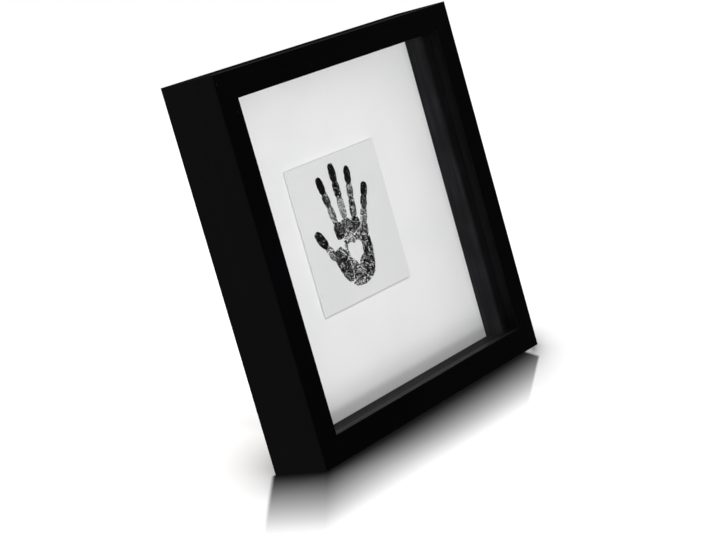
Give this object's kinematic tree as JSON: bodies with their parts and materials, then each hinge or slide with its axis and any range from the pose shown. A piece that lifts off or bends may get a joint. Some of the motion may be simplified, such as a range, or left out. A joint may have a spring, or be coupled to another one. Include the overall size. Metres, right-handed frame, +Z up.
{
  "type": "box picture frame",
  "caption": "Deep square black box frame with glass, a float-mounted handprint card on white board, a back held by turn buttons, and ring hangers.",
  "frame": {"origin": "middle of the face that the frame stands on", "axes": "+Z up, +X to the right of someone looking at the print, +Y from the front to the back"},
  "size_m": [0.28, 0.052, 0.28],
  "materials": {
    "black_moulding": "satin black lacquer over wood",
    "clear_glass": "clear 2 mm float glass",
    "black_spacer": "satin black foil over wood",
    "white_board": "matt white mount board",
    "print_card": null,
    "foam_tape": "soft white closed-cell foam, sticky on both faces",
    "foam_board": "white paper over foam core",
    "brown_board": "brown corrugated board",
    "bare_fibreboard": "bare sanded fibreboard",
    "zinc_steel": "bright zinc plate",
    "grey_rubber": "matt dark grey soft rubber"
  },
  "bodies": {
    "frame": {"top_rail": "black_moulding", "bottom_rail": "black_moulding", "left_stile": "black_moulding", "right_stile": "black_moulding", "corner_v_nails": "zinc_steel", "glass_pane": "clear_glass", "top_spacer": "black_spacer", "bottom_spacer": "black_spacer", "left_spacer": "black_spacer", "right_spacer": "black_spacer", "mount_board": "white_board", "card_foam_pads": "foam_tape", "print_card": "print_card", "foam_backing": "foam_board", "card_packer": "brown_board", "back_panel": "bare_fibreboard", "turn_button_screws": "zinc_steel", "hanger_strap_left": "zinc_steel", "hanger_strap_right": "zinc_steel", "hanger_screws": "zinc_steel", "wall_bumpers": "grey_rubber"},
    "turn_button_top_left": {"turn_button_top_left": "zinc_steel"},
    "turn_button_top_right": {"turn_button_top_right": "zinc_steel"},
    "turn_button_left": {"turn_button_left": "zinc_steel"},
    "turn_button_right": {"turn_button_right": "zinc_steel"},
    "turn_button_bottom_left": {"turn_button_bottom_left": "zinc_steel"},
    "turn_button_bottom_right": {"turn_button_bottom_right": "zinc_steel"},
    "hanger_ring_left": {"hanger_ring_left": "zinc_steel"},
    "hanger_ring_right": {"hanger_ring_right": "zinc_steel"}
  },
  "joints": [
    {"name": "turn_button_top_left_turn", "type": "hinge", "parent": "frame", "child": "turn_button_top_left", "pos_m": [-0.0635, 0.024, 0.2725], "axis": [0, 1, 0], "continuous": true},
    {"name": "turn_button_top_right_turn", "type": "hinge", "parent": "frame", "child": "turn_button_top_right", "pos_m": [0.0635, 0.024, 0.2725], "axis": [0, 1, 0], "continuous": true},
    {"name": "turn_button_left_turn", "type": "hinge", "parent": "frame", "child": "turn_button_left", "pos_m": [-0.1325, 0.024, 0.14], "axis": [0, 1, 0], "continuous": true},
    {"name": "turn_button_right_turn", "type": "hinge", "parent": "frame", "child": "turn_button_right", "pos_m": [0.1325, 0.024, 0.14], "axis": [0, 1, 0], "continuous": true},
    {"name": "turn_button_bottom_left_turn", "type": "hinge", "parent": "frame", "child": "turn_button_bottom_left", "pos_m": [-0.0635, 0.024, 0.0075], "axis": [0, 1, 0], "range_deg": [-90, 90]},
    {"name": "turn_button_bottom_right_turn", "type": "hinge", "parent": "frame", "child": "turn_button_bottom_right", "pos_m": [0.0635, 0.024, 0.0075], "axis": [0, 1, 0], "range_deg": [-90, 90]},
    {"name": "hanger_ring_left_swing", "type": "hinge", "parent": "frame", "child": "hanger_ring_left", "pos_m": [-0.131, 0.02588, 0.1981], "axis": [1, 0, 0], "range_deg": [0, 180]},
    {"name": "hanger_ring_right_swing", "type": "hinge", "parent": "frame", "child": "hanger_ring_right", "pos_m": [0.131, 0.02588, 0.1981], "axis": [1, 0, 0], "range_deg": [0, 180]}
  ]
}
